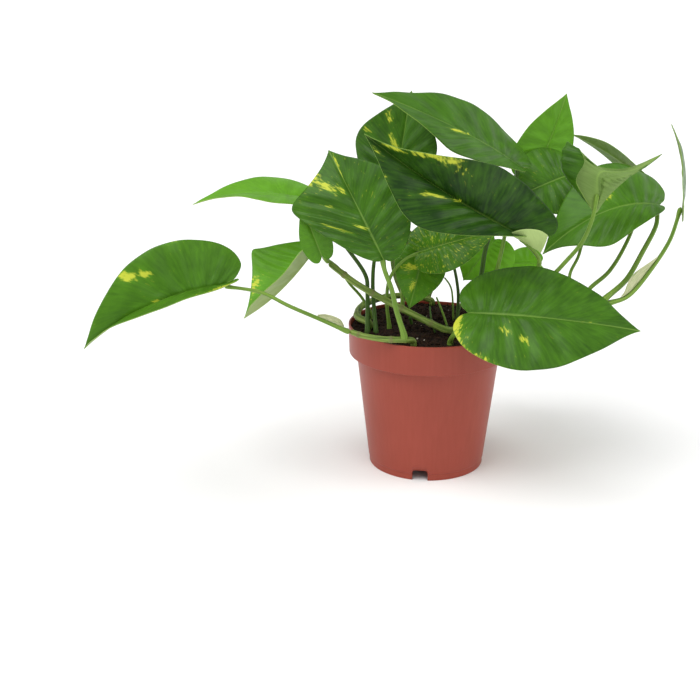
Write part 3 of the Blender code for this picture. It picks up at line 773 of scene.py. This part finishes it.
def leaf_material(name, darks, lights, yellow, roughness, flecked):
    """Leaf skin. Its colour goes from darks to lights by the blade's tone, which holds painted
    light as well as the blade's own green, with streaks along the veins, a pale midrib and
    margin, and yellow where the flecks are."""
    made, shader = new_material(name, Roughness=roughness, Specular_IOR_Level=0.16)
    tree = made.node_tree
    flat = add_node(tree, "UVMap", uv_map="blade").outputs[0]
    place = add_node(tree, "TexCoord").outputs["Object"]
    # The blade's tone: its own green with painted light in it, paler where it is lit from behind.
    tone_and_painted_light = add_node(tree, "Attribute", attribute_name="tone_and_painted_light").outputs["Fac"]
    # Streaks 1 to 2 mm wide that follow the side veins.
    streak = add_noise(tree, flat, (90.0, 6.0, 1.0), 4.0)
    # Clouds 18 mm across.
    cloud = add_noise(tree, place, 55.0, 3.0)
    mixed = add_node(tree, "Math", {0: streak, 1: cloud}, operation="ADD")
    share = spread(tree, mixed.outputs[0], 0.7, 1.3, -0.11, 0.11)
    varied = add_node(tree, "Math", {0: tone_and_painted_light, 1: share}, operation="ADD")
    fleck = add_node(tree, "Attribute", attribute_name="fleck").outputs["Fac"]
    halo = spread(tree, fleck, 0.0, 1.0, 0.0, 0.22)
    level = add_node(
        tree, "Math", {0: varied.outputs[0], 1: halo}, operation="ADD", use_clamp=True
    )
    skin = blend(tree, level.outputs[0], linear(darks), linear(lights))
    rib = add_node(tree, "Attribute", attribute_name="rib").outputs["Fac"]
    coloured = blend(tree, rib, skin, linear("#8fb055"))
    if flecked:
        # Flecks are ragged along the veins: about 1 mm wide and several long.
        rag = add_noise(tree, flat, (95.0, 13.0, 1.0), 5.0)
        ragged = spread(tree, rag, 0.3, 0.7, -0.5, 0.5)
        total = add_node(tree, "Math", {0: fleck, 1: ragged}, operation="ADD")
        mask = add_node(
            tree, "MapRange", {"Value": total.outputs[0], "From Min": 0.40, "From Max": 0.95},
            interpolation_type="SMOOTHSTEP",
        )
        coloured = blend(tree, mask.outputs[0], coloured, linear(yellow))
    finish_skin(tree, shader, coloured, streak, 0.22, 0.0005)
    return made


# Upper face: deep green under a waxed cuticle, which gives a wide grey sheen.
upper_face = leaf_material("pothos_leaf_upper_face", "#18370a", "#6dae26", "#bfc73e", 0.32, True)
# Underside: the same leaf without the wax, grey-green and nearly matt.
under_face = leaf_material("pothos_leaf_underside", "#56782e", "#a9bf78", "#d0cf74", 0.5, True)
# Margin: the blade's cut edge, pale and slightly see-through.
margin = leaf_material("pothos_leaf_margin", "#6d8f3c", "#a5bd62", "#d9dc70", 0.45, False)


def fleck_level(colours, t, s):
    """How yellow the blade is at a place, before the edges are torn."""
    level = 0.42 * colours["speckle"] - 0.12
    for at_t, at_s, size_t, size_s, strength in colours["patches"]:
        away = ((t - at_t) / size_t) ** 2 + ((s - at_s) / size_s) ** 2
        level = max(level, strength * math.exp(-0.8 * away))
    return level


def leaf_height(leaf, t, s):
    """How far the skin stands off the smooth blade: quilted, with a sunk midrib."""
    _, wide = smooth(HALF_OUTLINE, t)
    from_rib = abs(s) * wide * leaf.get("width", USUAL_WIDTH) / 2
    wave = math.cos(math.tau * (SIDE_VEINS * t + VEIN_LEAN * abs(s)))
    fade = min(1.0, from_rib / QUILT_START) * min(1.0, 4.0 * (1.0 - abs(s)))
    sunk = MIDRIB_DEPTH * math.exp(-(from_rib / MIDRIB_WIDTH) ** 2) * min(1.0, 6.0 * (1.0 - t))
    return -QUILT * wave * fade * wide * leaf.get("width", USUAL_WIDTH) / QUILT_WIDTH - sunk


# The lobe of the front upper blade that has rolled back over itself, so that its pale
# underside shows: curves from its fold to its free margin.
ROLLED_LOBE = [
    [(49, -57, 190), (54, -59, 191), (60, -60, 190), (67, -60, 189), (73, -59, 187)],
    [(50, -60, 192), (56, -63, 195), (62, -64, 196), (70, -64, 195), (76, -61, 191)],
    [(53, -60, 190), (59, -63, 190), (65, -64, 189), (71, -63, 187), (74, -61, 184)],
    [(60, -58, 186), (64, -60, 184), (67, -61, 182), (70, -60, 180), (72, -59, 178)],
]
LOBE_GRID = 24


def add_rolled_lobe(bm):
    """Adds the rolled lobe to the blade's own bmesh, pale like an underside, with painted light on
    it.
    """
    uv = bm.loops.layers.uv["blade"]
    tone_and_painted_light = bm.verts.layers.float["tone_and_painted_light"]
    fleck = bm.verts.layers.float["fleck"]
    made = bmesh.ops.create_grid(bm, x_segments=LOBE_GRID, y_segments=LOBE_GRID, size=1.0)["verts"]
    for face in {f for v in made for f in v.link_faces}:
        for loop in face.loops:
            loop[uv].uv = ((loop.vert.co.x + 1) / 6, (loop.vert.co.y + 1) / 2)
    for vert in made:
        t, s = (vert.co.x + 1) / 2, (vert.co.y + 1) / 2
        # A high tone: the pale of an underside, brightened further with painted light where the
        # lobe faces the light.
        vert[tone_and_painted_light] = 0.9
        vert[fleck] = -0.2
        vert.co = smooth([smooth(curve, t) for curve in ROLLED_LOBE], s)


def make_leaf(name, leaf):
    """One blade: a grid laid on its surface, with its skin's relief, given thickness."""
    colours = COLOURS[name]
    bm = bmesh.new()
    bmesh.ops.create_grid(bm, x_segments=LEAF_ROWS, y_segments=2 * HALF_LEAF_COLUMNS, size=1.0)
    uv = bm.loops.layers.uv.new("blade")
    fleck = bm.verts.layers.float.new("fleck")
    tone_and_painted_light = bm.verts.layers.float.new("tone_and_painted_light")
    rib = bm.verts.layers.float.new("rib")
    for face in bm.faces:
        for loop in face.loops:
            loop[uv].uv = ((loop.vert.co.x + 1) / 2, (loop.vert.co.y + 1) / 2)
    for vert in bm.verts:
        t = BLADE_START + BLADE_SPAN * (vert.co.x + 1) / 2
        s = vert.co.y
        _, wide = smooth(HALF_OUTLINE, t)
        from_rib = abs(s) * wide * leaf.get("width", USUAL_WIDTH) / 2
        vert[fleck] = fleck_level(colours, t, s)
        # Each blade's tone, partly painted light where the blade is lit from behind or catches
        # strong light.
        vert[tone_and_painted_light] = colours["tone_and_painted_light"]
        vert[rib] = RIB_LEVEL * math.exp(-(from_rib / RIB_WIDTH) ** 2)
        point, rise = blade_point(leaf, t, s)
        away = WARP * noise.noise(point / WARP_SIZE) * min(1.0, from_rib / WARP_START)
        vert.co = point + rise * (leaf_height(leaf, t, s) + away)
    bmesh.ops.reverse_faces(bm, faces=bm.faces)
    if name == "front_high":
        add_rolled_lobe(bm)
    piece = finish_piece(bm, "leaf_blade_" + name, [upper_face, under_face, margin],
                         ["leaf_" + name], 80.0)
    wall = piece.modifiers.new("thickness", "SOLIDIFY")
    wall.thickness = BLADE * MM
    wall.offset = 0.0
    wall.use_rim = True
    wall.material_offset = 1
    wall.material_offset_rim = 2
    return piece


for name, leaf in LEAVES.items():
    make_leaf(name, leaf)

# ---------------------------------------------------------------- leaf stalks
# Each blade's own stalk: green, springy and channelled along its upper side. It is thicker
# at the foot, where it clasps the vine, and has a short swollen joint under the blade.

STALK_STEPS = 56
CLASP = 7.0
JOINT = 7.0


def stalk_material(name, dark, light):
    """Stalk skin: smooth green from dark to light, in fine lines some 45 mm long."""
    made, shader = new_material(name, Roughness=0.40, Specular_IOR_Level=0.2)
    tree = made.node_tree
    flat = add_node(tree, "UVMap", uv_map="along").outputs[0]
    streak = add_noise(tree, flat, (22.0, 11.0, 1.0), 4.0)
    skin = blend(tree, spread(tree, streak, 0.3, 0.7), linear(dark), linear(light))
    finish_skin(tree, shader, skin, streak, 0.25, 0.0003)
    return made


light_stalk = stalk_material("pothos_stalk", "#4b7020", "#86a646")
# A darker copy of the stalk skin for the stalks that stand in shade under the blades, and for some
# spare stalks: painted shade.
shade_painted_stalk = stalk_material("pothos_stalk_painted_shade", "#2a4517", "#4f6e2c")
SHADE_PAINTED_STALKS = ("back_low", "left_high", "centre_back", "small_low", "top")


def stalk_route(name):
    """From inside the vine or the peat up to the underside of the blade's notch."""
    stalk, leaf = STALKS[name], LEAVES[name]
    radius = stalk["radius"]
    if len(stalk["foot"]) == 2:
        x, y = stalk["foot"]
        foot = Vector((x, y, soil_height(x, y) + 2 * GAP + radius))
        root = foot - Vector((0.0, 0.0, ROOT_DEPTH))
    else:
        vine, share, away = stalk["foot"]
        on_vine = smooth(vine_route(VINES[vine]), share)
        foot = on_vine + direction(*away) * (VINES[vine]["radius"] + GAP + radius)
        root = on_vine
    notch, rise = blade_point(leaf, SEAT, 0.0)
    seat = notch - rise * (BLADE / 2 + GAP + radius * TOP_SHARE)
    return [root, foot] + [Vector(spot) for spot in stalk["via"]] + [seat]


for name, stalk in STALKS.items():
    thick = stalk["radius"]

    def stalk_radius(distance, length):
        taper = 1.0 + (TOP_SHARE - 1.0) * distance / length
        foot = 0.35 * math.exp(-(distance / CLASP) ** 2)
        joint = 0.22 * math.exp(-((length - distance - JOINT / 2) / JOINT * 2) ** 2)
        return thick * (taper + foot + joint) * dome(distance, length, thick)

    stem("leaf_stalk_" + name, stalk_route(name), STALK_STEPS, stalk_radius,
         shade_painted_stalk if name in SHADE_PAINTED_STALKS else light_stalk, ["stalk_" + name], 0.28)

# ---------------------------------------------------------------- spare stalks
# Thin stalks and stubs whose blades have been cut away. They stand loose in the peat
# between the vines, some plain green and some a darker green that is painted shade.

# The darker finish on some of these stalks is painted shade.
SPARE_STALKS = [
    dict(route=[(22, 2, 116), (22, 8, 135), (18, 12, 153)], radius=0.9, finish=shade_painted_stalk),
    dict(route=[(18, -8, 114), (16, -10, 138), (10, -14, 149)], radius=0.8, finish=light_stalk),
    dict(route=[(13, -25, 112), (9, -23, 124), (4, -20, 136)], radius=0.9, finish=light_stalk),
    dict(route=[(19, -15, 112), (22, -11, 124), (26, -5, 134)], radius=0.8, finish=shade_painted_stalk),
    dict(route=[(-21, -8, 112), (-22, -10, 118), (-24, -12, 122)], radius=1.3, finish=light_stalk),
    dict(route=[(-13, -11, 112), (-14, -12, 116), (-15, -13, 119)], radius=1.2, finish=shade_painted_stalk),
    dict(route=[(3, -32, 112), (0, -30, 122), (-1, -26, 131)], radius=0.8, finish=shade_painted_stalk),
]
SPARE_STEPS = 20
for number, spare in enumerate(SPARE_STALKS, 1):
    thick = spare["radius"]

    def spare_radius(distance, length):
        return thick * (1.0 - 0.25 * distance / length) * dome(distance, length, thick)

    stem("spare_stalk_%d" % number, spare["route"], SPARE_STEPS, spare_radius,
         spare["finish"], [], 0.2)

# ---------------------------------------------------------------- dry sheaths
# The thin wings that wrapped each young leaf. They dry to a papery buff strip, which stays
# along the foot of the stalk.

SHEATHS = {
    "right": dict(stalk="far_right", start=0.16, end=0.60, edge=(-90, 68), width=6.5),
    "front": dict(stalk="left", start=0.03, end=0.28, edge=(0, 75), width=4.5),
}
SHEATH = 0.25
SHEATH_ENDS = 0.6
SHEATH_ROWS = 60
SHEATH_COLUMNS = 8

# Dry sheath: parchment-like, buff to pale green, with fine lengthwise fibres.
parchment, shader = new_material("dry_leaf_sheath", Roughness=0.6)
tree = parchment.node_tree
flat = add_node(tree, "UVMap", uv_map="along").outputs[0]
fibre = add_noise(tree, flat, (6.0, 16.0, 1.0), 4.0)
tint = blend(tree, spread(tree, fibre, 0.3, 0.7), linear("#8fa466"), linear("#d8d3ae"))
finish_skin(tree, shader, tint, fibre, 0.4, 0.0004)

for name, sheath in SHEATHS.items():
    stalk = STALKS[sheath["stalk"]]
    route = stalk_route(sheath["stalk"])[1:]
    away = direction(*sheath["edge"])
    bm = bmesh.new()
    bmesh.ops.create_grid(bm, x_segments=SHEATH_ROWS, y_segments=SHEATH_COLUMNS, size=1.0)
    uv = bm.loops.layers.uv.new("along")
    for face in bm.faces:
        for loop in face.loops:
            loop[uv].uv = ((loop.vert.co.x + 1) / 2, (loop.vert.co.y + 1) / 2)
    for vert in bm.verts:
        t, s = (vert.co.x + 1) / 2, (vert.co.y + 1) / 2
        bulge = SHEATH_ENDS + sheath["width"] * math.sin(math.pi * t)
        share = sheath["start"] + (sheath["end"] - sheath["start"]) * t
        run = (smooth(route, share + NEAR) - smooth(route, share - NEAR)).normalized()
        across = (away - run * away.dot(run)).normalized()
        curl = 0.9 * math.sin(9.0 * t) * s + 1.2 * math.sin(math.pi * s)
        vert.co = (smooth(route, share) + across * (stalk["radius"] - 0.2 + s * bulge)
                   + run.cross(across) * curl)
    piece = finish_piece(bm, "stalk_sheath_" + name, [parchment], ["sheath_" + name],
                         60.0)
    wall = piece.modifiers.new("thickness", "SOLIDIFY")
    wall.thickness = SHEATH * MM
    wall.offset = 0.0
    wall.use_rim = True

# ---------------------------------------------------------------- studio
# A white floor, a white room, a large soft light overhead and to the left, weaker ones in
# front and at both sides, and a camera in front, a little above the plant.

# Floor: matt white background paper.
paper, shader = new_material("white_background_paper", Roughness=0.9, Base_Color=linear("#fbfbfb"))
bm = bmesh.new()
bmesh.ops.create_grid(bm, x_segments=1, y_segments=1, size=60.0)
mesh = bpy.data.meshes.new("floor")
bm.to_mesh(mesh)
bm.free()
mesh.materials.append(paper)
floor = bpy.data.objects.new("floor", mesh)
bpy.context.scene.collection.objects.link(floor)

world = bpy.data.worlds.new("studio")
world.use_nodes = True
tree = world.node_tree
seen = add_node(tree, "LightPath").outputs["Is Camera Ray"]
level = add_node(tree, "MapRange", {"Value": seen, "To Min": 0.5, "To Max": 1.0})
tree.nodes["Background"].inputs["Color"].default_value = (1.0, 1.0, 1.0, 1.0)
tree.links.new(level.outputs[0], tree.nodes["Background"].inputs["Strength"])
bpy.context.scene.world = world
bpy.context.scene.view_settings.view_transform = "Standard"

LIGHTS = {
    "overhead": dict(away=(-0.35, -0.35, 1.0), strength=2.1, angle=55.0),
    "front": dict(away=(0.6, -1.0, 0.55), strength=0.35, angle=40.0),
    "right": dict(away=(1.0, 0.1, 0.35), strength=0.9, angle=50.0),
    "left": dict(away=(-1.0, 0.0, 0.3), strength=0.6, angle=50.0),
}
for name, facts in LIGHTS.items():
    lamp = bpy.data.lights.new(name, "SUN")
    lamp.energy = facts["strength"]
    lamp.angle = math.radians(facts["angle"])
    lantern = bpy.data.objects.new(name, lamp)
    lantern.rotation_euler = Vector(facts["away"]).to_track_quat("Z", "Y").to_euler()
    bpy.context.scene.collection.objects.link(lantern)

TARGET = AXIS + Vector((-0.0589, 0.0, 0.0884))
DISTANCE = 0.909
TILT = math.radians(18.4)
lens = bpy.data.cameras.new("camera")
lens.lens = 61.71
lens.sensor_width = 36.0
lens.clip_start = 0.05
camera = bpy.data.objects.new("camera", lens)
camera.location = TARGET + Vector((0.0, -DISTANCE * math.cos(TILT), DISTANCE * math.sin(TILT)))
camera.rotation_euler = (math.pi / 2 - TILT, 0.0, 0.0)
bpy.context.scene.collection.objects.link(camera)
bpy.context.scene.camera = camera
